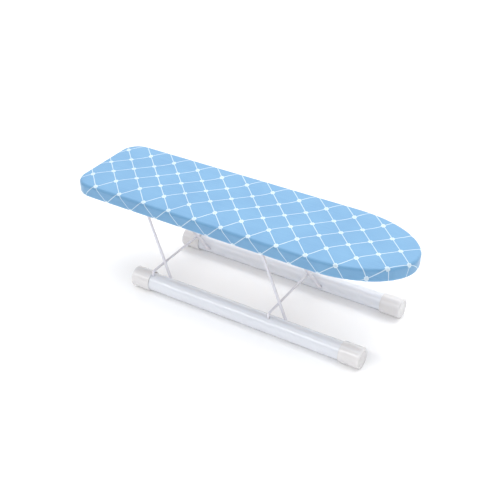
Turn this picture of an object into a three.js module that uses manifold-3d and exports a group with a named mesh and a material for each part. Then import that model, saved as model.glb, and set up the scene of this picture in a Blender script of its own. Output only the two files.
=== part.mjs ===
// Tabletop ironing board with a folding parallelogram base.
// Millimetres, +Z up. +X runs to the rounded nose, -Y is the right-hand side, and the
// origin is on the table under the middle of the board. The board is modelled standing
// open: both wire legs lean back on their stop bars.
import * as THREE from 'three';
import { mergeVertices } from 'three/addons/utils/BufferGeometryUtils.js';
import Module from 'manifold-3d';

const wasm = await Module();
wasm.setup();

// ---------------------------------------------------------------- driving dimensions

const GAP = 0.3;                    // clearance between pieces that touch

const BOARD_LENGTH = 600;
const BOARD_WIDTH = 172;
const BOARD_TOP = 177;              // height of the ironing surface above the table
const BOARD_THICKNESS = 25;         // over the cover, top to underside
const BOARD_EDGE_ROUND = 5;         // rounding of the padded edge, above and below
const REAR_CORNER_RADIUS = 34;
const NOSE_LENGTH = 140;            // the half ellipse at the front

const CLOTH = 1.2;                  // cover fabric
const PANEL_THICKNESS = 12;
const HEM_INSET = 30;               // from the board's edge to the rolled hem
const HEM_WIDTH = 6;
const HEM_DROP = 2.9;               // the rolled hem hangs this far below the cover
const HEM_CLOTH = 0.9;
const HEM_MOUTH = 12;               // opening in the hem where the elastic is threaded
const ELASTIC_WIDTH = 2.4;
const ELASTIC_HEIGHT = 1.8;

const TUBE_RADIUS = 15.5;
const TUBE_WALL = 1.6;
const TUBE_SPACING = 152.4;         // between the two tubes' centre lines
const SLED_REAR = -180;             // outer faces of the end caps
const SLED_FRONT = 256;
const CAP_RADIUS = 17.65;
const CAP_LENGTH = 36;
const CAP_END_WALL = 4;
const CAP_RIM_ROUND = 2.6;
const CAP_RECESS_RADIUS = 12.5;
const CAP_RECESS_DEPTH = 1;

const LEG_WIRE_RADIUS = 2.5;
const LEG_REAR_FOOT_X = -119.6;     // foot pivots lie in the tubes' mid-height
const LEG_SPACING = 229.5;          // rear leg to front leg
const LEG_LEAN_X = 86;              // how far the top bar stands behind the feet
const LEG_TOP_Z = 148.7;
const LEG_TOP_HALF_WIDTH = 21;
const LEG_FOOT_HALF_WIDTH = 57.5;
const LEG_PIN_END = 68;             // the out-turned pins end inside the tubes
const LEG_TOP_BEND = 8;
const LEG_FOOT_BEND = 5;
const PIN_HOLE_RADIUS = 2.95;

const STOP_WIRE_RADIUS = 2;
const STOP_HEIGHT = 41.2;
const STOP_HALF_WIDTH = 80;
const STOP_END_Z = 5.6;             // the bar's ends stand on the tubes' floor
const STOP_BEND = 4.5;
const STOP_HOLE_RADIUS = 2.45;

const SADDLE_WIDTH = 24;
const SADDLE_REACH = 17;            // half the saddle's length along the board
const SADDLE_METAL = 1.5;
const SADDLE_BORE_RADIUS = 2.95;
const SCREW_OFFSET = 11.4;
const SCREW_HOLE_RADIUS = 1.8;
const SCREW_RADIUS = 1.5;
const SCREW_LENGTH = 9.5;
const SCREW_HEAD_RADIUS = 3.1;
const SCREW_HEAD_HEIGHT = 1.9;
const SCREW_SLOT_WIDTH = 0.9;
const SCREW_SLOT_DEPTH = 0.9;

// ---------------------------------------------------------------- worked-out places

const BOARD_UNDER = BOARD_TOP - BOARD_THICKNESS;
const CORE_INSET = CLOTH + GAP;
const PANEL_UNDER = BOARD_UNDER + CORE_INSET;
const PANEL_TOP = PANEL_UNDER + PANEL_THICKNESS;
const NOSE_START_X = BOARD_LENGTH / 2 - NOSE_LENGTH;
const TUBE_Y = TUBE_SPACING / 2;
const TUBE_Z = CAP_RADIUS;          // the caps rest on the table, the tubes hang between
const LEG_RUN = Math.hypot(LEG_LEAN_X, LEG_TOP_Z - TUBE_Z);

// The stop bar touches the back of the leaning leg, less the clearance.
const STOP_BEHIND_FOOT = (
  (LEG_WIRE_RADIUS + STOP_WIRE_RADIUS + GAP) * LEG_RUN + (STOP_HEIGHT - TUBE_Z) * LEG_LEAN_X
) / (LEG_TOP_Z - TUBE_Z);

// ---------------------------------------------------------------- finishes

const FINISH = {
  cover: new THREE.MeshStandardMaterial({ color: 0x8fc3ec, roughness: 0.9, metalness: 0 }),
  foam: new THREE.MeshStandardMaterial({ color: 0xe9e6dc, roughness: 1, metalness: 0 }),
  panel: new THREE.MeshStandardMaterial({ color: 0xb08a5c, roughness: 0.8, metalness: 0 }),
  elastic: new THREE.MeshStandardMaterial({ color: 0xf2f2ee, roughness: 0.9, metalness: 0 }),
  tube: new THREE.MeshStandardMaterial({ color: 0xe6e9ec, roughness: 0.35, metalness: 0 }),
  cap: new THREE.MeshStandardMaterial({ color: 0xf3f3f1, roughness: 0.4, metalness: 0 }),
  wire: new THREE.MeshStandardMaterial({ color: 0xeceded, roughness: 0.3, metalness: 0.1 }),
  zinc: new THREE.MeshStandardMaterial({ color: 0xb9bcc0, roughness: 0.35, metalness: 1 }),
};

// ---------------------------------------------------------------- solids and booleans

function solidOf(geometry) {
  const bare = geometry.index ? geometry.toNonIndexed() : geometry.clone();
  bare.deleteAttribute('normal');
  bare.deleteAttribute('uv');
  const merged = mergeVertices(bare, 1e-4);
  return new wasm.Manifold(new wasm.Mesh({
    numProp: 3,
    vertProperties: new Float32Array(merged.attributes.position.array),
    triVerts: new Uint32Array(merged.index.array),
  }));
}

function geometryOf(solid) {
  const mesh = solid.getMesh();
  const geometry = new THREE.BufferGeometry();
  geometry.setAttribute('position', new THREE.BufferAttribute(mesh.vertProperties, 3));
  geometry.setIndex(new THREE.BufferAttribute(mesh.triVerts, 1));
  geometry.computeVertexNormals();
  return geometry;
}

// ---------------------------------------------------------------- shape helpers

// The board's outline, seen from above, drawn in by `inset` all round.
function boardOutline(inset) {
  const rear = -BOARD_LENGTH / 2 + inset;
  const side = BOARD_WIDTH / 2 - inset;
  const corner = Math.max(REAR_CORNER_RADIUS - inset, 4);
  const nose = NOSE_LENGTH - inset;
  const outline = new THREE.Shape();
  outline.moveTo(rear, side - corner);
  outline.lineTo(rear, corner - side);
  outline.absarc(rear + corner, corner - side, corner, Math.PI, 1.5 * Math.PI, false);
  outline.absellipse(NOSE_START_X, 0, nose, side, -Math.PI / 2, 0, false, 0);
  outline.absellipse(NOSE_START_X, 0, nose, side, 0, Math.PI / 2, false, 0);
  outline.absarc(rear + corner, side - corner, corner, Math.PI / 2, Math.PI, false);
  return outline;
}

// A slab with the board's outline, its upper and lower edges rounded by `round`.
function boardSlab(inset, bottom, top, round) {
  const geometry = new THREE.ExtrudeGeometry(boardOutline(inset), {
    depth: top - bottom - 2 * round,
    curveSegments: 5,
    bevelEnabled: round > 0,
    bevelThickness: round,
    bevelSize: round,
    bevelOffset: -round,
    bevelSegments: 3,
  });
  geometry.translate(0, 0, bottom + round);
  return solidOf(geometry);
}

// A flat ring that follows the board's outline between two insets.
function boardRing(insetOuter, insetInner, bottom, top) {
  const outer = boardSlab(insetOuter, bottom, top, 0);
  return outer.subtract(boardSlab(insetInner, bottom - 1, top + 1, 0));
}

function box(sizeX, sizeY, sizeZ, x, y, z) {
  const geometry = new THREE.BoxGeometry(sizeX, sizeY, sizeZ);
  geometry.translate(x, y, z);
  return solidOf(geometry);
}

// A round cutter along 'y' or 'z', centred on (x, y, z).
function rod(radius, length, along, x, y, z) {
  const geometry = new THREE.CylinderGeometry(radius, radius, length, 20);
  if (along === 'z') geometry.rotateX(Math.PI / 2);
  geometry.translate(x, y, z);
  return solidOf(geometry);
}

// Turned round the X axis: profile points are (radius, x). A flat of the polygon lies
// at the bottom, `radius` below the axis.
function turnedAlongX(profile, sides) {
  const stretch = 1 / Math.cos(Math.PI / sides);
  const points = profile.map(([radius, x]) => new THREE.Vector2(radius * stretch, x));
  const geometry = new THREE.LatheGeometry(points, sides, Math.PI / sides);
  geometry.rotateZ(-Math.PI / 2);
  return geometry;
}

// A bent wire: straight runs between corners, each corner an arc of its own radius.
class BentWire extends THREE.Curve {
  constructor(corners, bends, bendSteps = 6) {
    super();
    const points = [corners[0]];
    const tangents = [corners[1].clone().sub(corners[0]).normalize()];
    for (let i = 1; i < corners.length - 1; i++) {
      const into = corners[i].clone().sub(corners[i - 1]).normalize();
      const out = corners[i + 1].clone().sub(corners[i]).normalize();
      const turn = into.angleTo(out);
      const side = out.clone().addScaledVector(into, -Math.cos(turn)).normalize();
      const start = corners[i].clone().addScaledVector(into, -bends[i - 1] * Math.tan(turn / 2));
      for (let step = 0; step <= bendSteps; step++) {
        const angle = turn * step / bendSteps;
        points.push(start.clone()
          .addScaledVector(into, bends[i - 1] * Math.sin(angle))
          .addScaledVector(side, bends[i - 1] * (1 - Math.cos(angle))));
        tangents.push(into.clone().multiplyScalar(Math.cos(angle))
          .addScaledVector(side, Math.sin(angle)));
      }
    }
    points.push(corners.at(-1));
    tangents.push(corners.at(-1).clone().sub(corners.at(-2)).normalize());
    this.stations = points;
    this.tangents = tangents;
  }

  get steps() { return this.stations.length - 1; }

  getPointAt(u) { return this.stations[Math.round(u * this.steps)].clone(); }

  getTangentAt(u) { return this.tangents[Math.round(u * this.steps)].clone(); }
}

function wireGeometry(corners, bends, radius, sides) {
  const section = [];
  for (let i = 0; i < sides; i++) {
    const angle = 2 * Math.PI * i / sides;
    section.push(new THREE.Vector2(radius * Math.cos(angle), radius * Math.sin(angle)));
  }
  const path = new BentWire(corners, bends);
  return new THREE.ExtrudeGeometry(new THREE.Shape(section), {
    steps: path.steps,
    extrudePath: path,
    bevelEnabled: false,
  });
}

const model = new THREE.Group();

function addMesh(parent, name, geometry, finish, x = 0, y = 0, z = 0) {
  const mesh = new THREE.Mesh(geometry, finish);
  mesh.name = name;
  mesh.position.set(x, y, z);
  parent.add(mesh);
}

// ---------------------------------------------------------------- the padded board

// Panel and foam share one rounded body, parted where the foam lies on the panel.
function addPanelAndFoam(parent) {
  const core = boardSlab(
    CORE_INSET, PANEL_UNDER, BOARD_TOP - CORE_INSET, BOARD_EDGE_ROUND - CORE_INSET);
  const half = BOARD_LENGTH + BOARD_WIDTH;
  let panel = core.intersect(box(half, half, 2 * PANEL_THICKNESS, 0, 0, PANEL_UNDER));
  for (const legX of [0, LEG_SPACING]) {
    for (const side of [-1, 1]) {
      const x = LEG_REAR_FOOT_X - LEG_LEAN_X + legX + side * SCREW_OFFSET;
      panel = panel.subtract(rod(SCREW_HOLE_RADIUS, 2 * (SCREW_LENGTH + 0.5), 'z', x, 0, PANEL_UNDER));
    }
  }
  const foam = core.intersect(box(half, half, BOARD_THICKNESS,
    0, 0, PANEL_TOP + GAP + BOARD_THICKNESS / 2));
  addMesh(parent, 'base_panel', geometryOf(panel), FINISH.panel);
  addMesh(parent, 'foam_pad', geometryOf(foam), FINISH.foam);
}

// The fitted cover wraps the edge, turns in under the panel and ends in a rolled hem.
function addCover(parent) {
  const flangeTop = BOARD_UNDER + CLOTH;
  const hemUnder = BOARD_UNDER - HEM_DROP;
  const channelInset = HEM_INSET + HEM_CLOTH;
  const channelWidth = HEM_WIDTH - 2 * HEM_CLOTH;
  const channelUnder = hemUnder + HEM_CLOTH;
  const channelTop = flangeTop - HEM_CLOTH;
  const cover = boardSlab(0, BOARD_UNDER, BOARD_TOP, BOARD_EDGE_ROUND)
    .subtract(boardSlab(CLOTH, flangeTop, BOARD_TOP - CLOTH, BOARD_EDGE_ROUND - CLOTH))
    .subtract(boardSlab(HEM_INSET + HEM_WIDTH, BOARD_UNDER - 1, flangeTop + 1, 0))
    .add(boardRing(HEM_INSET, HEM_INSET + HEM_WIDTH, hemUnder, flangeTop))
    .subtract(boardRing(channelInset, channelInset + channelWidth, channelUnder, channelTop))
    .subtract(box(2 * HEM_CLOTH + GAP, HEM_MOUTH, channelTop - channelUnder,
      -BOARD_LENGTH / 2 + HEM_INSET + HEM_WIDTH, 0, (channelTop + channelUnder) / 2));
  addMesh(parent, 'cover', geometryOf(cover), FINISH.cover);

  const slackX = (channelWidth - ELASTIC_WIDTH) / 2;
  const slackZ = (channelTop - channelUnder - ELASTIC_HEIGHT) / 2;
  const elastic = boardRing(channelInset + slackX, channelInset + slackX + ELASTIC_WIDTH,
    channelUnder + slackZ, channelTop - slackZ);
  addMesh(parent, 'hem_elastic', geometryOf(elastic), FINISH.elastic);
}

// ---------------------------------------------------------------- saddles and screws

// A pressed saddle: two flat wings and a hump that holds the leg's top bar.
function saddleGeometry() {
  const wingTop = PANEL_UNDER - GAP - LEG_TOP_Z;
  const wingUnder = wingTop - SADDLE_METAL;
  const outer = SADDLE_BORE_RADIUS + SADDLE_METAL;
  const section = new THREE.Shape();
  section.moveTo(-SADDLE_REACH, wingUnder);
  section.lineTo(-outer, wingUnder);
  section.lineTo(-outer, 0);
  section.absarc(0, 0, outer, Math.PI, 2 * Math.PI, false);
  section.lineTo(outer, wingUnder);
  section.lineTo(SADDLE_REACH, wingUnder);
  section.lineTo(SADDLE_REACH, wingTop);
  section.lineTo(SADDLE_BORE_RADIUS, wingTop);
  section.lineTo(SADDLE_BORE_RADIUS, 0);
  section.absarc(0, 0, SADDLE_BORE_RADIUS, 0, -Math.PI, true);
  section.lineTo(-SADDLE_BORE_RADIUS, wingTop);
  section.lineTo(-SADDLE_REACH, wingTop);
  const geometry = new THREE.ExtrudeGeometry(section, {
    depth: SADDLE_WIDTH,
    curveSegments: 6,
    bevelEnabled: false,
  });
  geometry.rotateX(Math.PI / 2);
  geometry.translate(0, SADDLE_WIDTH / 2, 0);
  let saddle = solidOf(geometry);
  for (const side of [-1, 1]) {
    saddle = saddle.subtract(
      rod(SCREW_HOLE_RADIUS, 4 * SADDLE_METAL, 'z', side * SCREW_OFFSET, 0, wingUnder));
  }
  return geometryOf(saddle);
}

// Pan-head wood screw, head down, origin under the wing it clamps.
function screwGeometry() {
  const profile = [
    [0, -SCREW_HEAD_HEIGHT],
    [SCREW_HEAD_RADIUS * 0.55, -SCREW_HEAD_HEIGHT * 0.93],
    [SCREW_HEAD_RADIUS * 0.9, -SCREW_HEAD_HEIGHT * 0.6],
    [SCREW_HEAD_RADIUS, 0],
    [SCREW_RADIUS, 0],
    [SCREW_RADIUS, SCREW_LENGTH - 2],
    [0, SCREW_LENGTH],
  ].map(([radius, z]) => new THREE.Vector2(radius, z));
  const geometry = new THREE.LatheGeometry(profile, 16);
  geometry.rotateX(Math.PI / 2);
  const slot = SCREW_HEAD_RADIUS * 1.1;
  const screw = solidOf(geometry)
    .subtract(box(slot, SCREW_SLOT_WIDTH, 2 * SCREW_SLOT_DEPTH, 0, 0, -SCREW_HEAD_HEIGHT))
    .subtract(box(SCREW_SLOT_WIDTH, slot, 2 * SCREW_SLOT_DEPTH, 0, 0, -SCREW_HEAD_HEIGHT));
  return geometryOf(screw);
}

function addSaddle(parent, end, footX) {
  const x = footX - LEG_LEAN_X;
  addMesh(parent, `${end}_pivot_saddle`, saddleGeometry(), FINISH.zinc, x, 0, LEG_TOP_Z);
  const headZ = PANEL_UNDER - 2 * GAP - SADDLE_METAL;
  addMesh(parent, `${end}_saddle_screw_back`, screwGeometry(), FINISH.zinc,
    x - SCREW_OFFSET, 0, headZ);
  addMesh(parent, `${end}_saddle_screw_front`, screwGeometry(), FINISH.zinc,
    x + SCREW_OFFSET, 0, headZ);
}

// ---------------------------------------------------------------- legs and stop bars

// One wire: a pin in each tube, two sloping runs and a short top bar in the saddle.
function addLeg(parent, end, footX) {
  const topX = footX - LEG_LEAN_X;
  const corners = [
    new THREE.Vector3(footX, -LEG_PIN_END, TUBE_Z),
    new THREE.Vector3(footX, -LEG_FOOT_HALF_WIDTH, TUBE_Z),
    new THREE.Vector3(topX, -LEG_TOP_HALF_WIDTH, LEG_TOP_Z),
    new THREE.Vector3(topX, LEG_TOP_HALF_WIDTH, LEG_TOP_Z),
    new THREE.Vector3(footX, LEG_FOOT_HALF_WIDTH, TUBE_Z),
    new THREE.Vector3(footX, LEG_PIN_END, TUBE_Z),
  ];
  const bends = [LEG_FOOT_BEND, LEG_TOP_BEND, LEG_TOP_BEND, LEG_FOOT_BEND];
  addMesh(parent, `${end}_leg_wire`,
    wireGeometry(corners, bends, LEG_WIRE_RADIUS, 12), FINISH.wire);
}

// A wire bridge from tube to tube that the leaning leg comes to rest on.
function addStopBar(parent, end, footX) {
  const x = footX - STOP_BEHIND_FOOT;
  const corners = [
    new THREE.Vector3(x, -STOP_HALF_WIDTH, STOP_END_Z),
    new THREE.Vector3(x, -STOP_HALF_WIDTH, STOP_HEIGHT),
    new THREE.Vector3(x, STOP_HALF_WIDTH, STOP_HEIGHT),
    new THREE.Vector3(x, STOP_HALF_WIDTH, STOP_END_Z),
  ];
  addMesh(parent, `${end}_stop_bar`,
    wireGeometry(corners, [STOP_BEND, STOP_BEND], STOP_WIRE_RADIUS, 12), FINISH.wire);
}

// ---------------------------------------------------------------- the sled

function addFootTube(parent, name, side) {
  const rear = SLED_REAR + CAP_END_WALL + GAP;
  const front = SLED_FRONT - CAP_END_WALL - GAP;
  const inner = TUBE_RADIUS - TUBE_WALL;
  const profile = [
    [TUBE_RADIUS, rear],
    [TUBE_RADIUS, front],
    [inner, front],
    [inner, rear],
    [TUBE_RADIUS, rear],
  ];
  let tube = solidOf(turnedAlongX(profile, 40));
  for (const footX of [LEG_REAR_FOOT_X, LEG_REAR_FOOT_X + LEG_SPACING]) {
    tube = tube
      .subtract(rod(PIN_HOLE_RADIUS, TUBE_RADIUS, 'y', footX, -side * TUBE_RADIUS, 0))
      .subtract(rod(STOP_HOLE_RADIUS, TUBE_RADIUS, 'z', footX - STOP_BEHIND_FOOT,
        side * (STOP_HALF_WIDTH - TUBE_Y), TUBE_RADIUS));
  }
  addMesh(parent, name, geometryOf(tube), FINISH.tube, 0, side * TUBE_Y, TUBE_Z);
}

// A push-on cap, mouth at x = 0 and rounded outer end at x = CAP_LENGTH.
function capGeometry() {
  const socket = TUBE_RADIUS + GAP + 0.15;
  const socketDepth = CAP_LENGTH - CAP_END_WALL;
  const rimStart = CAP_LENGTH - CAP_RIM_ROUND;
  const rim = [0.5, 1].map((share) => {
    const angle = share * Math.PI / 2;
    return [CAP_RADIUS - CAP_RIM_ROUND * (1 - Math.cos(angle)),
      rimStart + CAP_RIM_ROUND * Math.sin(angle)];
  });
  const profile = [
    [0, socketDepth],
    [socket, socketDepth],
    [socket, 0],
    [CAP_RADIUS, 0],
    [CAP_RADIUS, rimStart],
    ...rim,
    [CAP_RECESS_RADIUS, CAP_LENGTH],
    [CAP_RECESS_RADIUS - CAP_RECESS_DEPTH, CAP_LENGTH - CAP_RECESS_DEPTH],
    [0, CAP_LENGTH - CAP_RECESS_DEPTH],
  ];
  return turnedAlongX(profile, 32);
}

function addCap(parent, name, side, end) {
  const cap = capGeometry();
  if (end < 0) cap.rotateZ(Math.PI);
  const mouthX = end < 0 ? SLED_REAR + CAP_LENGTH : SLED_FRONT - CAP_LENGTH;
  addMesh(parent, name, cap, FINISH.cap, mouthX, side * TUBE_Y, TUBE_Z);
}

// ---------------------------------------------------------------- assembly

const board = new THREE.Group();
addPanelAndFoam(board);
addCover(board);
addSaddle(board, 'rear', LEG_REAR_FOOT_X);
addSaddle(board, 'front', LEG_REAR_FOOT_X + LEG_SPACING);
model.add(board);

const sled = new THREE.Group();
for (const [sideName, side] of [['right', -1], ['left', 1]]) {
  addFootTube(sled, `${sideName}_foot_tube`, side);
  addCap(sled, `${sideName}_rear_cap`, side, -1);
  addCap(sled, `${sideName}_front_cap`, side, 1);
}
addStopBar(sled, 'rear', LEG_REAR_FOOT_X);
addStopBar(sled, 'front', LEG_REAR_FOOT_X + LEG_SPACING);
model.add(sled);

addLeg(model, 'rear', LEG_REAR_FOOT_X);
addLeg(model, 'front', LEG_REAR_FOOT_X + LEG_SPACING);

export default model;
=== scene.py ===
"""Looks for the tabletop ironing board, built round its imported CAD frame. Metres, +Z up."""
import math

import bmesh
import bpy
import numpy as np
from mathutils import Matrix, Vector


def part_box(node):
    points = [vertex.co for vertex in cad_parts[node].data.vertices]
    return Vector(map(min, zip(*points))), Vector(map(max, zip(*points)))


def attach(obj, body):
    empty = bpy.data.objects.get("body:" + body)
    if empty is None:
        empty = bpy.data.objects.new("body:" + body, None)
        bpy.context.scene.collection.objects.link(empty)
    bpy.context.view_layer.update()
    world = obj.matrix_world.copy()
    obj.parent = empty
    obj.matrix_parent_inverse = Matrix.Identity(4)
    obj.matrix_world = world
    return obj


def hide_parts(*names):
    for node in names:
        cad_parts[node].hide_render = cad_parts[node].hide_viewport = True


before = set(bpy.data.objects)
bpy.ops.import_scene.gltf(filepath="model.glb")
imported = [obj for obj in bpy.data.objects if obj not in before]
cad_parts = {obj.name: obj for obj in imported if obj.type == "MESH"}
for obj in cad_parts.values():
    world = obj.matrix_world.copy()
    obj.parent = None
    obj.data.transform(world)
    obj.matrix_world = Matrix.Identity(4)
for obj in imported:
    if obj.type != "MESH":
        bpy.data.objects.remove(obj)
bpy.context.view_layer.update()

# ---------------------------------------------------------------- dimensions

MM = 0.001

# The padded board, as the frame's cover, panel and pad give it.
COVER_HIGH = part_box("cover")[1]
PANEL_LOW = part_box("base_panel")[0]
FOAM_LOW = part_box("foam_pad")[0]
HALF_LENGTH = COVER_HIGH.x
HALF_WIDTH = COVER_HIGH.y
BOARD_TOP = COVER_HIGH.z
BOARD_UNDER = PANEL_LOW.z - 1.5 * MM
NOSE_LENGTH = 140 * MM
NOSE_START = HALF_LENGTH - NOSE_LENGTH
REAR_CORNER = 34 * MM
TIGHTEST_CORNER = 4 * MM

# The cover's cloth.
CLOTH = 0.7 * MM
EDGE_ROUND = 5 * MM
DOME_REACH = 36 * MM        # how far in from the edge the padded top starts to fall away
DOME_DROP = 1.5 * MM
PRINT_DRAW = 8 * MM         # how far the print is drawn out, askew, towards the long edges
HEM_INSET = 33 * MM
HEM_HALF_WIDTH = 2.8 * MM
HEM_Z = (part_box("hem_elastic")[0].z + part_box("hem_elastic")[1].z) / 2
HEM_HALF_HEIGHT = 1.95 * MM
PUCKER_DEPTH = 1.4 * MM     # how far the gathered cloth hangs under the board
SIDE_RIPPLE = 0.3 * MM
TOP_WAVE = 0.15 * MM        # the slight unevenness of the padded top

# The stitches that close the hem.
STITCH_INSET = 28.2 * MM
STITCH_PITCH = 4.2 * MM
STITCH_LENGTH = 3.1 * MM
THREAD_RADIUS = 0.28 * MM
THREAD_SIDES = 6

# The print: white lines that cross squarely, turned 45 degrees to the board.
PRINT_DIAGONAL = 50.33 * MM
PRINT_START_X = -334.5 * MM
PRINT_START_Y = 2.5 * MM
THREADS_PER_METRE = 2000

# Wires.
LEG_TOP_HALF_WIDTH = 21 * MM
LEG_FOOT_HALF_WIDTH = 57.5 * MM
LEG_TOP_BEND = 8 * MM
LEG_FOOT_BEND = 5 * MM
STOP_BEND = 4.5 * MM
LEG_RADIUS = 2.5 * MM
STOP_RADIUS = 2 * MM

# Tubes and caps.
TUBE_RADIUS = 15.5 * MM
TUBE_WALL = 1.6 * MM
PIN_HOLE = 2.95 * MM
STOP_HOLE = 2.45 * MM
CAP_WALL_END = 4 * MM
CAP_PLAY = 0.3 * MM
CAP_MOUTH_ROUND = 1.2 * MM
CAP_RIM_ROUND = 2.6 * MM
CAP_DISH_RADIUS = 12.5 * MM
CAP_DISH_DEPTH = 1.3 * MM
CAP_DISH_ROUND = 0.8 * MM

NEAR_AXIS = 0.1 * MM        # the radius at which a turned solid's end closes
FLOOR_Z = -0.2 * MM

ROUND_SIDES = 96
UV_NAME = "cloth"


# ---------------------------------------------------------------- mesh helpers

def new_object(name, vertices, faces, smooth_angle=35):
    """A mesh object in the shared frame, shaded smooth but for its sharp edges."""
    mesh = bpy.data.meshes.new(name)
    mesh.from_pydata([tuple(v) for v in vertices], [], faces)
    mesh.validate()
    bm = bmesh.new()
    bm.from_mesh(mesh)
    bmesh.ops.remove_doubles(bm, verts=bm.verts, dist=1e-6)
    bmesh.ops.recalc_face_normals(bm, faces=bm.faces)
    bm.to_mesh(mesh)
    bm.free()
    mesh.shade_smooth()
    mesh.set_sharp_from_angle(angle=math.radians(smooth_angle))
    obj = bpy.data.objects.new(name, mesh)
    bpy.context.scene.collection.objects.link(obj)
    return obj


def ring_faces(rings, sides, closed_along=False, caps=True):
    """Quads between rings of `sides` points each, with the two ends filled."""
    faces = []
    last = rings if closed_along else rings - 1
    for ring in range(last):
        here, there = ring * sides, (ring + 1) % rings * sides
        for side in range(sides):
            nxt = (side + 1) % sides
            faces.append((here + side, here + nxt, there + nxt, there + side))
    if caps and not closed_along:
        faces.append(tuple(range(sides - 1, -1, -1)))
        faces.append(tuple(range((rings - 1) * sides, rings * sides)))
    return faces


def apply_modifiers(obj):
    """Makes the modified mesh the object's own."""
    graph = bpy.context.evaluated_depsgraph_get()
    mesh = bpy.data.meshes.new_from_object(obj.evaluated_get(graph))
    obj.modifiers.clear()
    obj.data = mesh


def cut(obj, cutters):
    """Cuts the cutters out of obj and removes them."""
    for cutter in cutters:
        modifier = obj.modifiers.new("cut", "BOOLEAN")
        modifier.operation = "DIFFERENCE"
        modifier.solver = "EXACT"
        modifier.object = cutter
    apply_modifiers(obj)
    for cutter in cutters:
        bpy.data.objects.remove(cutter)
    obj.data.shade_smooth()
    obj.data.set_sharp_from_angle(angle=math.radians(35))


def turned_along_x(name, profile, centre_y, centre_z, sides=ROUND_SIDES, closed=False):
    """A solid turned round an axis along X. The profile is (radius, x) points."""
    vertices = []
    for radius, x in profile:
        for side in range(sides):
            angle = 2 * math.pi * side / sides
            vertices.append((x, centre_y + radius * math.cos(angle),
                             centre_z + radius * math.sin(angle)))
    return new_object(name, vertices, ring_faces(len(profile), sides, closed))


def round_rod(name, radius, start, end, sides=32):
    """A plain round cutter from start to end."""
    axis = (end - start).normalized()
    across = axis.orthogonal().normalized()
    up = axis.cross(across)
    vertices = []
    for point in (start, end):
        for side in range(sides):
            angle = 2 * math.pi * side / sides
            vertices.append(point + radius * (math.cos(angle) * across + math.sin(angle) * up))
    return new_object(name, vertices, ring_faces(2, sides))


def arc(centre, radius, start, end, steps):
    """Points of an arc as (first, second) pairs; angles in degrees."""
    angles = np.radians(np.linspace(start, end, steps + 1))
    return [(centre[0] + radius * math.cos(a), centre[1] + radius * math.sin(a)) for a in angles]


# ---------------------------------------------------------------- material helpers

class Nodes:
    """A short way to write a node material."""

    def __init__(self, name):
        self.material = bpy.data.materials.new(name)
        self.material.use_nodes = True
        self.tree = self.material.node_tree
        self.shader = self.tree.nodes["Principled BSDF"]

    def add(self, kind, **inputs):
        node = self.tree.nodes.new("ShaderNode" + kind)
        for key, value in inputs.items():
            self.put(node.inputs[key.replace("_", " ")], value)
        return node

    def put(self, socket, value):
        if isinstance(value, bpy.types.NodeSocket):
            self.tree.links.new(value, socket)
        else:
            socket.default_value = value

    def math(self, operation, first, second=0.0, third=0.0):
        node = self.tree.nodes.new("ShaderNodeMath")
        node.operation = operation
        for socket, value in zip(node.inputs, (first, second, third)):
            self.put(socket, value)
        return node.outputs[0]

    def ramp(self, value, low, high):
        """Smoothly 0 below `low` and 1 above `high`; the other way round if high < low."""
        node = self.tree.nodes.new("ShaderNodeMapRange")
        node.interpolation_type = "SMOOTHSTEP"
        for key, given in (("Value", value), ("From Min", low), ("From Max", high)):
            self.put(node.inputs[key], given)
        return node.outputs[0]

    def mix(self, share, first, second):
        node = self.tree.nodes.new("ShaderNodeMix")
        node.data_type = "RGBA"
        self.put(node.inputs["Factor"], share)
        self.put(node.inputs[6], first)
        self.put(node.inputs[7], second)
        return node.outputs[2]

    def place(self, scale=(1, 1, 1), uv=False):
        """Object coordinates, or the cloth's flat ones, times a scale."""
        if uv:
            source = self.tree.nodes.new("ShaderNodeUVMap")
            source.uv_map = UV_NAME
            output = source.outputs[0]
        else:
            output = self.tree.nodes.new("ShaderNodeTexCoord").outputs["Object"]
        return self.add("Mapping", Vector=output, Scale=scale).outputs[0]

    def noise(self, where, scale, detail=3.0, roughness=0.5):
        node = self.add("TexNoise", Vector=where, Scale=scale, Detail=detail, Roughness=roughness)
        return node.outputs["Fac"]

    def bump(self, height, strength, distance):
        node = self.add("Bump", Height=height, Strength=strength, Distance=distance)
        self.put(self.shader.inputs["Normal"], node.outputs[0])

    def set(self, **inputs):
        for key, value in inputs.items():
            self.put(self.shader.inputs[key.replace("_", " ")], value)


def rgb(red, green, blue):
    """A colour given as the 0 to 255 values seen on screen."""
    def linear(value):
        share = value / 255
        return share / 12.92 if share <= 0.04045 else ((share + 0.055) / 1.055) ** 2.4
    return (linear(red), linear(green), linear(blue), 1.0)


# ---------------------------------------------------------------- materials

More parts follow.
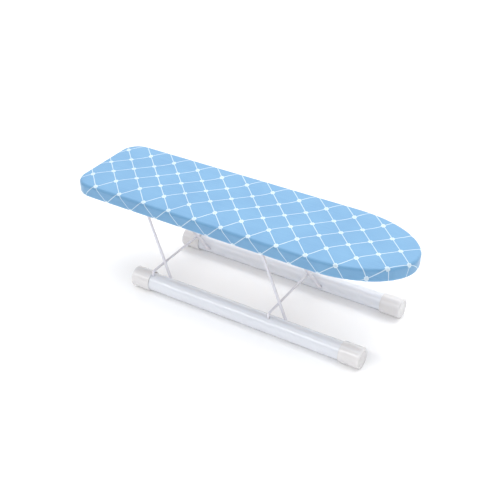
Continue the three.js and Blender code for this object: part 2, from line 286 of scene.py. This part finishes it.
def cover_material():
    """Light blue cotton with a white lattice, a small motif where its lines cross."""
    n = Nodes("printed_cotton")
    flat = n.place(uv=True)
    axes = n.add("SeparateXYZ", Vector=flat)
    wander = n.math("MULTIPLY", n.math("SUBTRACT", n.noise(flat, 90.0), 0.5), 0.5 * MM)
    across = n.math("DIVIDE", n.math("SUBTRACT", axes.outputs[0], PRINT_START_X), PRINT_DIAGONAL)
    along = n.math("DIVIDE", n.math("SUBTRACT", axes.outputs[1], PRINT_START_Y), PRINT_DIAGONAL)
    cell = PRINT_DIAGONAL / math.sqrt(2)

    def off_line(value):
        """Distance to the nearest line of one family, in metres."""
        wrapped = n.math("FRACT", n.math("ADD", value, 0.5))
        distance = n.math("MULTIPLY", n.math("ABSOLUTE", n.math("SUBTRACT", wrapped, 0.5)), cell)
        return n.math("ADD", distance, wander)

    first = off_line(n.math("ADD", across, along))
    second = off_line(n.math("SUBTRACT", across, along))
    nearest = n.math("MINIMUM", first, second)
    furthest = n.math("MAXIMUM", first, second)
    radial = n.math("SQRT", n.math("ADD", n.math("MULTIPLY", first, first),
                                   n.math("MULTIPLY", second, second)))
    line = n.ramp(nearest, 0.85 * MM, 0.45 * MM)
    blend = n.math("ADD", n.math("MULTIPLY", furthest, 0.55), n.math("MULTIPLY", radial, 0.45))
    motif = n.ramp(blend, 3.9 * MM, 3.4 * MM)
    heart = n.ramp(blend, 2.2 * MM, 1.4 * MM)

    warp = n.add("TexWave", Vector=flat, Scale=THREADS_PER_METRE / 6.283, Distortion=0.4)
    weft = n.add("TexWave", Vector=flat, Scale=THREADS_PER_METRE / 6.283, Distortion=0.4)
    weft.bands_direction = "Y"
    weave = n.math("MULTIPLY", warp.outputs["Fac"], weft.outputs["Fac"])
    slub = n.noise(n.place((18, 900, 1), uv=True), 1.0, 4.0)
    cloud = n.noise(flat, 14.0)

    tone = n.math("ADD", n.math("MULTIPLY", slub, 0.5), n.math("MULTIPLY", cloud, 0.5))
    ground = n.mix(n.ramp(tone, 0.3, 0.7), rgb(102, 159, 205), rgb(114, 171, 214))
    ground = n.mix(n.math("MULTIPLY", weave, 0.12), ground, rgb(92, 146, 196))
    white = n.mix(n.ramp(cloud, 0.3, 0.7), rgb(206, 226, 240), rgb(218, 236, 246))
    printed = n.mix(n.math("MULTIPLY", line, 0.85), ground, white)
    printed = n.mix(n.math("MULTIPLY", motif, 0.95), printed, white)
    printed = n.mix(n.math("MULTIPLY", heart, 0.45), printed, rgb(182, 202, 220))
    n.set(Base_Color=printed, Roughness=0.55, Sheen_Weight=0.42, Sheen_Roughness=0.4,
          Specular_IOR_Level=0.75)
    height = n.math("ADD", weave, n.math("MULTIPLY", slub, 0.6))
    n.bump(height, 0.35, 0.12 * MM)
    return n.material


def plain_fabric_material(name, colour, scale):
    """Plain woven thread or tape."""
    n = Nodes(name)
    where = n.place()
    fibre = n.noise(where, scale, 5.0, 0.65)
    n.set(Base_Color=n.mix(fibre, colour, tuple(0.86 * c for c in colour[:3]) + (1.0,)),
          Roughness=0.85, Sheen_Weight=0.2)
    n.bump(fibre, 0.4, 0.1 * MM)
    return n.material


def foam_material():
    """Open-cell foam."""
    n = Nodes("padding_foam")
    where = n.place()
    cells = n.add("TexVoronoi", Vector=where, Scale=900.0).outputs["Distance"]
    n.set(Base_Color=n.mix(cells, rgb(238, 233, 216), rgb(214, 207, 184)), Roughness=0.95)
    n.bump(cells, 0.6, 0.3 * MM)
    return n.material


def fibreboard_material():
    """Bare medium-density fibreboard: short fibres and darker specks."""
    n = Nodes("fibreboard")
    fibres = n.noise(n.place((220, 900, 900)), 1.0, 5.0, 0.6)
    mottle = n.noise(n.place(), 60.0, 4.0)
    specks = n.ramp(n.noise(n.place(), 700.0, 2.0), 0.66, 0.74)
    body = n.mix(fibres, rgb(176, 140, 98), rgb(146, 110, 72))
    body = n.mix(n.math("MULTIPLY", mottle, 0.5), body, rgb(190, 158, 116))
    n.set(Base_Color=n.mix(n.math("MULTIPLY", specks, 0.7), body, rgb(92, 64, 40)),
          Roughness=n.math("ADD", n.math("MULTIPLY", fibres, 0.15), 0.7))
    n.bump(fibres, 0.25, 0.15 * MM)
    return n.material


def milky_plastic_material(name, light, shade, roughness, streaks, clearness):
    """Frosted white plastic that lets some light through under a smooth skin."""
    n = Nodes(name)
    cloud = n.noise(n.place((8, 40, 40)), 1.0, 4.0)
    drawn = n.noise(n.place(streaks), 1.0, 4.0, 0.6)
    scuff = n.ramp(n.noise(n.place((60, 400, 400)), 1.0, 5.0, 0.7), 0.62, 0.75)
    n.set(Base_Color=n.mix(cloud, light, shade),
          Roughness=n.math("ADD", n.math("MULTIPLY", drawn, 0.12),
                           n.math("ADD", n.math("MULTIPLY", scuff, 0.1), roughness)),
          Transmission_Weight=clearness, IOR=1.45,
          Subsurface_Weight=0.3, Subsurface_Scale=6 * MM, Subsurface_Radius=(1.0, 1.0, 1.0),
          Coat_Weight=0.8, Coat_Roughness=n.math("ADD", n.math("MULTIPLY", scuff, 0.1), 0.07))
    n.bump(drawn, 0.12, 0.12 * MM)
    return n.material


def coated_wire_material():
    """Steel wire dipped in white plastic."""
    n = Nodes("white_coated_wire")
    cloud = n.noise(n.place(), 45.0, 3.0)
    peel = n.noise(n.place(), 900.0, 2.0)
    n.set(Base_Color=n.mix(cloud, rgb(226, 225, 232), rgb(206, 205, 214)),
          Roughness=n.math("ADD", n.math("MULTIPLY", cloud, 0.15), 0.25),
          Coat_Weight=0.3, Coat_Roughness=0.15)
    n.bump(peel, 0.12, 0.05 * MM)
    return n.material


def zinc_material():
    """Zinc-plated steel, with the faint spangle and rolling marks of the plating."""
    n = Nodes("zinc_plate")
    spangle = n.add("TexVoronoi", Vector=n.place(), Scale=260.0).outputs["Color"]
    grey = n.add("SeparateXYZ", Vector=spangle).outputs[0]
    rolled = n.noise(n.place((80, 1500, 1500)), 1.0, 4.0)
    n.set(Base_Color=n.mix(grey, rgb(196, 200, 206), rgb(170, 174, 181)), Metallic=1.0,
          Roughness=n.math("ADD", n.math("MULTIPLY", rolled, 0.22), 0.22))
    n.bump(rolled, 0.15, 0.04 * MM)
    return n.material


def floor_material():
    """A plain pale table top."""
    n = Nodes("pale_floor")
    grain = n.noise(n.place(), 6.0, 3.0)
    n.set(Base_Color=n.mix(grain, rgb(250, 250, 250), rgb(247, 247, 248)), Roughness=0.75,
          Specular_IOR_Level=0.2)
    return n.material


def paint(obj, material):
    obj.data.materials.clear()
    obj.data.materials.append(material)


# ---------------------------------------------------------------- the board's outline

NOSE_STEPS = 72
SIDE_STEPS = 140
CORNER_STEPS = 18
REAR_STEPS = 18


def outline(inset):
    """Points round the board, drawn in by `inset`, and their outward directions.

    It starts at the tip of the nose and runs along the left side first.
    """
    side = HALF_WIDTH - inset
    corner = max(REAR_CORNER - inset, TIGHTEST_CORNER)
    rear = inset - HALF_LENGTH
    nose = NOSE_LENGTH - inset
    points, normals = [], []
    for step in range(NOSE_STEPS):
        angle = math.pi / 2 * step / NOSE_STEPS
        points.append((NOSE_START + nose * math.cos(angle), side * math.sin(angle)))
        normals.append((math.cos(angle) / nose, math.sin(angle) / side))
    for step in range(SIDE_STEPS):
        share = step / SIDE_STEPS
        points.append((NOSE_START + share * (rear + corner - NOSE_START), side))
        normals.append((0.0, 1.0))
    for step in range(CORNER_STEPS):
        angle = math.pi / 2 * (1 + step / CORNER_STEPS)
        points.append((rear + corner + corner * math.cos(angle),
                       side - corner + corner * math.sin(angle)))
        normals.append((math.cos(angle), math.sin(angle)))
    for step in range(REAR_STEPS + 1):
        points.append((rear, (side - corner) * (1 - step / REAR_STEPS)))
        normals.append((-1.0, 0.0))
    points = np.array(points)
    normals = np.array(normals)
    mirror = np.array([1.0, -1.0])
    points = np.vstack([points, points[-2:0:-1] * mirror])
    normals = np.vstack([normals, normals[-2:0:-1] * mirror])
    return points, normals / np.linalg.norm(normals, axis=1, keepdims=True)


def middle_of(points):
    """Where each outline point ends up when the top is drawn in to its centre line."""
    front = NOSE_START + NOSE_LENGTH - HALF_WIDTH ** 2 / NOSE_LENGTH
    rear = HALF_WIDTH - HALF_LENGTH
    x = points[:, 0].copy()
    ahead = x > NOSE_START
    x[ahead] = NOSE_START + (x[ahead] - NOSE_START) * (front - NOSE_START) / NOSE_LENGTH
    return np.column_stack([np.clip(x, rear, front), np.zeros(len(x))])


def smooth_step(values, low, high):
    share = np.clip((values - low) / (high - low), 0, 1)
    return share * share * (3 - 2 * share)


# ---------------------------------------------------------------- the cover

def dome(inset):
    """How far the padded top has fallen, this far in from the edge."""
    return DOME_DROP * max(0.0, 1 - inset / DOME_REACH) ** 2


def cover_profile():
    """(inset, z) from the flat of the top, over the edge and under to the rolled hem."""
    profile = [(inset * MM, BOARD_TOP - dome(inset * MM)) for inset in (36, 30, 24, 19, 14, 10, 7)]
    fold = BOARD_TOP - dome(EDGE_ROUND) - EDGE_ROUND
    profile += [(EDGE_ROUND - across, z) for across, z in arc((0, fold), EDGE_ROUND, 90, 0, 9)]
    foot = BOARD_UNDER + EDGE_ROUND
    profile += [(0.0, z) for z in np.linspace(fold, foot, 7)[1:-1]]
    profile += [(EDGE_ROUND - across, z) for across, z in arc((0, foot), EDGE_ROUND, 0, -90, 8)]
    profile += [(inset * MM, BOARD_UNDER) for inset in np.arange(7, 30, 1.75)]
    turn = np.radians(np.linspace(155, 480, 22))
    for angle, share in zip(turn, np.linspace(1, 0.8, len(turn))):
        profile.append((HEM_INSET + HEM_HALF_WIDTH * share * math.cos(angle),
                        HEM_Z + HEM_HALF_HEIGHT * share * math.sin(angle)))
    return profile


def gathers(points, run):
    """How much the cloth puckers under the board at each outline point, 0 to 1.

    The elastic gathers it most round the nose and at the rear corners.
    """
    strength = 0.22 + 0.78 * smooth_step(points[:, 0], NOSE_START - 0.03, NOSE_START + 0.06)
    to_corner = np.hypot(points[:, 0] + HALF_LENGTH - REAR_CORNER,
                         np.abs(points[:, 1]) - HALF_WIDTH + REAR_CORNER)
    strength = np.maximum(strength, 1 - smooth_step(to_corner, 0.025, 0.075))
    wave = (0.6 * np.sin(2 * math.pi * run / 0.0112 + 1.3 * np.sin(run / 0.031))
            + 0.4 * np.sin(2 * math.pi * run / 0.0183 + 2.1 * np.sin(run / 0.047)))
    return strength * (0.5 + 0.5 * wave)


def distances_along(points):
    return np.concatenate([[0], np.cumsum(np.linalg.norm(np.diff(points, axis=0), axis=1))])


def drawn_print(flat):
    """Where the print of the flat cloth ends up: pulled outwards and askew at the long edges."""
    share = smooth_step(np.abs(flat[:, 1]), 36 * MM, HALF_WIDTH)
    draw = PRINT_DRAW * share * np.sign(flat[:, 1])
    return flat + np.column_stack([draw, -draw])


def make_cover():
    """The sewn cover as one sheet, and the outline its flat cloth was cut to."""
    edge, outward = outline(EDGE_ROUND)
    count = len(edge)
    rim = outline(0)[0]
    run = distances_along(rim)
    pucker = gathers(rim, run)
    ripple = np.sin(2 * math.pi * run / 0.061 + 1.7 * np.sin(run / 0.13))
    profile = cover_profile()

    rings, flats = [], []
    start = outline(profile[0][0])[0]
    middle = middle_of(start)
    for share in np.linspace(1, 0, 9)[:-1]:
        flat = start + share * (middle - start)
        rings.append(np.column_stack([flat, np.full(count, BOARD_TOP)]))
        flats.append(flat)

    past_edge = EDGE_ROUND - profile[0][0]
    for index, (inset, z) in enumerate(profile):
        if index:
            past_edge += math.dist(profile[index], profile[index - 1])
        flat, facing = outline(inset)
        flats.append(flat if past_edge <= 0 else edge + outward * past_edge)
        on_side = smooth_step(BOARD_TOP - z, 5 * MM, 14 * MM) * (z > BOARD_UNDER + 0.1 * MM)
        flat = flat - facing * (on_side * SIDE_RIPPLE * (1 + ripple) * pucker)[:, None]
        ring_z = np.full(count, z)
        if past_edge > 0 and z < BOARD_UNDER + EDGE_ROUND:
            ring_z -= PUCKER_DEPTH * pucker * smooth_step(inset, 4 * MM, 26 * MM)
        rings.append(np.column_stack([flat, ring_z]))
    for ring in rings[:10]:
        wave = np.sin(23 * ring[:, 0] + 1.1) * np.cos(31 * ring[:, 1] + 0.4)
        ring[:, 2] -= TOP_WAVE * (1 + wave)

    mesh = bpy.data.meshes.new("printed_cover")
    mesh.from_pydata(np.vstack(rings).tolist(), [], ring_faces(len(rings), count, caps=False))
    layer = mesh.uv_layers.new(name=UV_NAME)
    flat_all = drawn_print(np.vstack(flats))
    loops = np.empty(len(mesh.loops), np.int32)
    mesh.loops.foreach_get("vertex_index", loops)
    layer.data.foreach_set("uv", flat_all[loops].astype(np.float32).ravel())
    bm = bmesh.new()
    bm.from_mesh(mesh)
    bmesh.ops.remove_doubles(bm, verts=bm.verts, dist=2e-6)
    bmesh.ops.dissolve_degenerate(bm, edges=bm.edges, dist=1e-6)
    bmesh.ops.recalc_face_normals(bm, faces=bm.faces)
    bm.to_mesh(mesh)
    bm.free()
    cover = bpy.data.objects.new("printed_cover", mesh)
    bpy.context.scene.collection.objects.link(cover)
    solid = cover.modifiers.new("cloth", "SOLIDIFY")
    solid.thickness = CLOTH
    solid.offset = -1
    apply_modifiers(cover)
    cover.data.shade_smooth()
    paint(cover, cover_material())
    return cover, edge + outward * past_edge


def make_hem_stitches():
    """Short stitches that close the hem, all round under the board."""
    points, _ = outline(STITCH_INSET)
    closed = np.vstack([points, points[:1]])
    run = distances_along(closed)
    rim = outline(0)[0]
    pucker = gathers(rim, distances_along(rim))
    pucker = np.append(pucker, pucker[0])
    vertices, faces = [], []
    for start in np.arange(0, run[-1] - STITCH_LENGTH, STITCH_PITCH):
        base = len(vertices)
        for share in (0.0, 0.2, 0.5, 0.8, 1.0):
            at = start + share * STITCH_LENGTH
            here = np.array([np.interp(at, run, closed[:, 0]), np.interp(at, run, closed[:, 1])])
            there = np.array([np.interp(at + 0.2 * MM, run, closed[:, 0]),
                              np.interp(at + 0.2 * MM, run, closed[:, 1])])
            forward = (there - here) / max(np.linalg.norm(there - here), 1e-9)
            side = np.array([-forward[1], forward[0]])
            drop = PUCKER_DEPTH * np.interp(at, run, pucker)
            bow = 0.25 * MM * math.sin(math.pi * share)
            z = BOARD_UNDER - drop - bow + 0.05 * MM
            thick = THREAD_RADIUS * (0.55 if share in (0.0, 1.0) else 1.0)
            for turn in range(THREAD_SIDES):
                angle = 2 * math.pi * turn / THREAD_SIDES
                offset = side * thick * math.cos(angle)
                vertices.append((here[0] + offset[0], here[1] + offset[1],
                                 z + thick * math.sin(angle)))
        for face in ring_faces(5, THREAD_SIDES):
            faces.append(tuple(base + i for i in face))
    stitches = new_object("hem_stitching", vertices, faces)
    paint(stitches, plain_fabric_material("sewing_thread", rgb(226, 238, 248), 2500.0))
    return stitches


def make_foam():
    """The pad: gently domed, its upper edge rounded off, square on the panel below."""
    lift = CLOTH + 0.3 * MM
    profile = [(inset * MM, BOARD_TOP - lift - dome(inset * MM)) for inset in (36, 26, 17, 10)]
    fold = BOARD_TOP - dome(EDGE_ROUND) - EDGE_ROUND
    profile += [(EDGE_ROUND - across, z) for across, z in
                arc((0, fold), EDGE_ROUND - lift, 90, 0, 8)]
    profile.append((lift, FOAM_LOW.z))
    start, last = outline(profile[0][0])[0], outline(lift)[0]
    count = len(start)
    rings = [np.column_stack([start + share * (middle_of(start) - start),
                              np.full(count, profile[0][1])]) for share in (1, 0.75, 0.5, 0.25)]
    rings += [np.column_stack([outline(inset)[0], np.full(count, z)]) for inset, z in profile]
    rings += [np.column_stack([last + share * (middle_of(last) - last),
                               np.full(count, FOAM_LOW.z)]) for share in (0.25, 0.5, 0.75, 1)]
    foam = new_object("padding", np.vstack(rings), ring_faces(len(rings), count, caps=False))
    paint(foam, foam_material())
    return foam


# ---------------------------------------------------------------- wires

def wire_end(place, inward, tangent, radius, angles):
    """A wire's domed end, as (centre, direction, radius) stations; angles in degrees."""
    return [(place + inward * radius * (1 - math.sin(angle)) * 0.5, tangent,
             radius * max(math.cos(angle), 0.05)) for angle in np.radians(angles)]


def bent_wire(name, corners, bends, radius, plane_normal, sides=28, bend_steps=14):
    """A round wire in one plane, with arcs at its corners and domed ends."""
    corners = [Vector(c) for c in corners]
    into = (corners[1] - corners[0]).normalized()
    stations = wire_end(corners[0], into, into, radius, np.linspace(88, 0, 5))
    for i in range(1, len(corners) - 1):
        into = (corners[i] - corners[i - 1]).normalized()
        out = (corners[i + 1] - corners[i]).normalized()
        turn = into.angle(out)
        side = (out - into * math.cos(turn)).normalized()
        start = corners[i] - into * bends[i - 1] * math.tan(turn / 2)
        for step in range(bend_steps + 1):
            angle = turn * step / bend_steps
            at = start + bends[i - 1] * (into * math.sin(angle) + side * (1 - math.cos(angle)))
            stations.append((at, into * math.cos(angle) + side * math.sin(angle), radius))
    out = (corners[-1] - corners[-2]).normalized()
    stations += wire_end(corners[-1], -out, out, radius, np.linspace(0, 88, 5))
    vertices = []
    normal = Vector(plane_normal).normalized()
    for at, tangent, thick in stations:
        across = normal.cross(tangent).normalized()
        for turn in range(sides):
            angle = 2 * math.pi * turn / sides
            vertices.append(at + thick * (math.cos(angle) * normal + math.sin(angle) * across))
    return new_object(name, vertices, ring_faces(len(stations), sides), 50)


def make_leg(end, material):
    """A leg wire: pins turned out at both feet, and a short bar across the top."""
    low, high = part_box(f"{end}_leg_wire")
    foot = Vector((high.x - LEG_RADIUS, 0, low.z + LEG_RADIUS))
    top = Vector((low.x + LEG_RADIUS, 0, high.z - LEG_RADIUS))
    corners = [
        (foot.x, low.y, foot.z),
        (foot.x, -LEG_FOOT_HALF_WIDTH, foot.z),
        (top.x, -LEG_TOP_HALF_WIDTH, top.z),
        (top.x, LEG_TOP_HALF_WIDTH, top.z),
        (foot.x, LEG_FOOT_HALF_WIDTH, foot.z),
        (foot.x, high.y, foot.z),
    ]
    bends = [LEG_FOOT_BEND, LEG_TOP_BEND, LEG_TOP_BEND, LEG_FOOT_BEND]
    normal = (top - foot).cross(Vector((0, 1, 0)))
    leg = bent_wire(f"{end}_leg", corners, bends, LEG_RADIUS, normal)
    paint(leg, material)
    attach(leg, f"{end}_leg")
    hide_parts(f"{end}_leg_wire")
    return leg


def make_stop_bar(end, material):
    """The wire bridge from tube to tube that a leg leans on."""
    low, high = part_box(f"{end}_stop_bar")
    x = (low.x + high.x) / 2
    reach = high.y - STOP_RADIUS
    height = high.z - STOP_RADIUS
    corners = [(x, -reach, low.z), (x, -reach, height), (x, reach, height), (x, reach, low.z)]
    bar = bent_wire(f"{end}_stop", corners, [STOP_BEND, STOP_BEND], STOP_RADIUS, (1, 0, 0))
    paint(bar, material)
    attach(bar, "sled")
    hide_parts(f"{end}_stop_bar")
    return bar


# ---------------------------------------------------------------- tubes and caps

def make_tube(side_name, side, material):
    """A foot tube, with holes for the legs' pins and the stop bars' ends."""
    node = f"{side_name}_foot_tube"
    low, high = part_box(node)
    y, z = (low.y + high.y) / 2, (low.z + high.z) / 2
    inner = TUBE_RADIUS - TUBE_WALL
    profile = [(TUBE_RADIUS, low.x), (TUBE_RADIUS, high.x), (inner, high.x), (inner, low.x)]
    tube = turned_along_x(f"{side_name}_tube", profile, y, z, closed=True)
    cutters = []
    for end in ("rear", "front"):
        foot_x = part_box(f"{end}_leg_wire")[1].x - LEG_RADIUS
        wall = Vector((foot_x, y - side * TUBE_RADIUS, z))
        reach = Vector((0, side * 6 * MM, 0))
        cutters.append(round_rod("pin_hole", PIN_HOLE, wall - reach, wall + reach))
        bar_low, bar_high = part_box(f"{end}_stop_bar")
        crown = Vector(((bar_low.x + bar_high.x) / 2, side * (bar_high.y - STOP_RADIUS),
                        z + TUBE_RADIUS))
        drop = Vector((0, 0, 7 * MM))
        cutters.append(round_rod("stop_hole", STOP_HOLE, crown - drop, crown + drop))
    cut(tube, cutters)
    paint(tube, material)
    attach(tube, "sled")
    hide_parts(node)
    return tube


def make_cap(side_name, end, material):
    """A push-on cap with a soft mouth, a rounded rim and a dished end."""
    node = f"{side_name}_{end}_cap"
    low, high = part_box(node)
    y, z = (low.y + high.y) / 2, (low.z + high.z) / 2
    radius = (high.z - low.z) / 2
    length = high.x - low.x
    socket = TUBE_RADIUS + CAP_PLAY
    socket_end = length - CAP_WALL_END
    dish_floor = length - CAP_DISH_DEPTH
    mouth, rim, lip = CAP_MOUTH_ROUND, CAP_RIM_ROUND, CAP_DISH_ROUND
    profile = [(NEAR_AXIS, socket_end), (socket - 1 * MM, socket_end),
               (socket, socket_end - 1 * MM), (socket, 0.5 * MM)]
    profile += arc((radius - mouth, mouth), mouth, -120, 0, 6)
    profile += arc((radius - rim, length - rim), rim, 0, 90, 9)
    profile += arc((CAP_DISH_RADIUS + lip, length - lip), lip, 90, 150, 4)
    profile += [(CAP_DISH_RADIUS - 1.2 * MM, length - 1.15 * MM),
                (CAP_DISH_RADIUS - 2.5 * MM, dish_floor),
                (4 * MM, dish_floor), (NEAR_AXIS, dish_floor)]
    start, way = (low.x, 1) if end == "front" else (high.x, -1)
    cap = turned_along_x(f"{side_name}_{end}_end_cap",
                         [(r, start + way * x) for r, x in profile], y, z)
    paint(cap, material)
    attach(cap, "sled")
    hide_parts(node)
    return cap


# ---------------------------------------------------------------- building it

def build_board():
    cover, cut_outline = make_cover()
    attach(cover, "board")
    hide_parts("cover")
    stitches = make_hem_stitches()
    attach(stitches, "board")
    foam = make_foam()
    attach(foam, "board")
    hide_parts("foam_pad")
    paint(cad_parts["base_panel"], fibreboard_material())
    paint(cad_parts["hem_elastic"],
          plain_fabric_material("covered_elastic", rgb(240, 240, 236), 1800.0))
    zinc = zinc_material()
    for name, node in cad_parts.items():
        if "saddle" in name:
            paint(node, zinc)
            bevel = node.modifiers.new("soft_edges", "BEVEL")
            bevel.width = 0.2 * MM
            bevel.segments = 2
            bevel.limit_method = "ANGLE"
            bevel.angle_limit = math.radians(40)


def build_sled_and_legs():
    wire = coated_wire_material()
    tube = milky_plastic_material("frosted_tube", rgb(239, 242, 249), rgb(231, 235, 245),
                                  0.3, (6, 900, 900), 0.2)
    cap = milky_plastic_material("milky_cap", rgb(228, 226, 226), rgb(220, 218, 220),
                                 0.38, (300, 300, 300), 0.12)
    pieces = [make_tube("right", -1, tube), make_tube("left", 1, tube)]
    for end in ("rear", "front"):
        pieces += [make_leg(end, wire), make_stop_bar(end, wire)]
        pieces += [make_cap(side_name, end, cap) for side_name in ("right", "left")]
    return pieces


# ---------------------------------------------------------------- camera, light, floor

CAMERA_PLACE = (0.6854, -1.1075, 0.9339)
CAMERA_AZIMUTH = 31.57
CAMERA_ELEVATION = 32.98
CAMERA_LENS = 66.5

FRONT_SKY = 0.7
BACK_SKY = 1.6
SIDE_DIMMING = 0.45
KEY_POWER = 20
STRIP_POWER = 18


def make_camera():
    camera = bpy.data.objects.new("camera", bpy.data.cameras.new("camera"))
    bpy.context.scene.collection.objects.link(camera)
    azimuth, elevation = math.radians(CAMERA_AZIMUTH), math.radians(CAMERA_ELEVATION)
    back = Vector((math.sin(azimuth) * math.cos(elevation),
                   -math.cos(azimuth) * math.cos(elevation), math.sin(elevation)))
    camera.location = CAMERA_PLACE
    camera.rotation_mode = "QUATERNION"
    camera.rotation_quaternion = (-back).to_track_quat("-Z", "Y")
    camera.data.lens = CAMERA_LENS
    camera.data.sensor_width = 36
    camera.data.clip_start = 0.05
    camera.data.clip_end = 50
    bpy.context.scene.camera = camera


def area_light(name, place, aim, size, power):
    light = bpy.data.lights.new(name, "AREA")
    light.shape = "RECTANGLE"
    light.size, light.size_y = size
    light.energy = power
    obj = bpy.data.objects.new(name, light)
    obj.location = place
    obj.rotation_mode = "QUATERNION"
    obj.rotation_quaternion = (Vector(aim) - Vector(place)).to_track_quat("-Z", "Y")
    bpy.context.scene.collection.objects.link(obj)
    return obj


def make_world():
    """A white studio, brighter behind the object and dimmer to its left and right."""
    world = bpy.data.worlds.new("studio")
    world.use_nodes = True
    tree = world.node_tree
    direction = tree.nodes.new("ShaderNodeTexCoord")
    axes = tree.nodes.new("ShaderNodeSeparateXYZ")
    fade = tree.nodes.new("ShaderNodeMapRange")
    tree.links.new(direction.outputs["Generated"], axes.inputs[0])
    tree.links.new(axes.outputs["Y"], fade.inputs["Value"])
    fade.inputs["From Min"].default_value = -0.8
    fade.inputs["From Max"].default_value = 0.8
    fade.inputs["To Min"].default_value = FRONT_SKY
    fade.inputs["To Max"].default_value = BACK_SKY
    sideways = tree.nodes.new("ShaderNodeMath")
    sideways.operation = "ABSOLUTE"
    tree.links.new(axes.outputs["X"], sideways.inputs[0])
    dim = tree.nodes.new("ShaderNodeMapRange")
    tree.links.new(sideways.outputs[0], dim.inputs["Value"])
    dim.inputs["To Min"].default_value = 1.0
    dim.inputs["To Max"].default_value = SIDE_DIMMING
    strength = tree.nodes.new("ShaderNodeMath")
    strength.operation = "MULTIPLY"
    tree.links.new(fade.outputs[0], strength.inputs[0])
    tree.links.new(dim.outputs[0], strength.inputs[1])
    background = tree.nodes["Background"]
    background.inputs["Color"].default_value = (1, 1, 1, 1)
    tree.links.new(strength.outputs[0], background.inputs["Strength"])
    bpy.context.scene.world = world


def make_studio(sled):
    """The strip in front lights the pale sled and the floor, and passes the board by."""
    make_world()
    area_light("overhead", (-0.1, 0.5, 1.9), (0, 0, 0.1), (2.4, 1.6), KEY_POWER)
    strip = area_light("strip", (0, -1.3, 1.25), (0, 0, 0.05), (3.2, 0.22), STRIP_POWER)
    bpy.ops.mesh.primitive_plane_add(size=30, location=(0, 0, FLOOR_Z))
    floor = bpy.context.object
    floor.name = "floor"
    paint(floor, floor_material())
    lit_by_strip = bpy.data.collections.new("lit_by_strip")
    for obj in sled + [floor]:
        lit_by_strip.objects.link(obj)
    strip.light_linking.receiver_collection = lit_by_strip
    strip.light_linking.blocker_collection = lit_by_strip
    bpy.context.scene.view_settings.view_transform = "Standard"


build_board()
sled = build_sled_and_legs()
make_camera()
make_studio(sled)
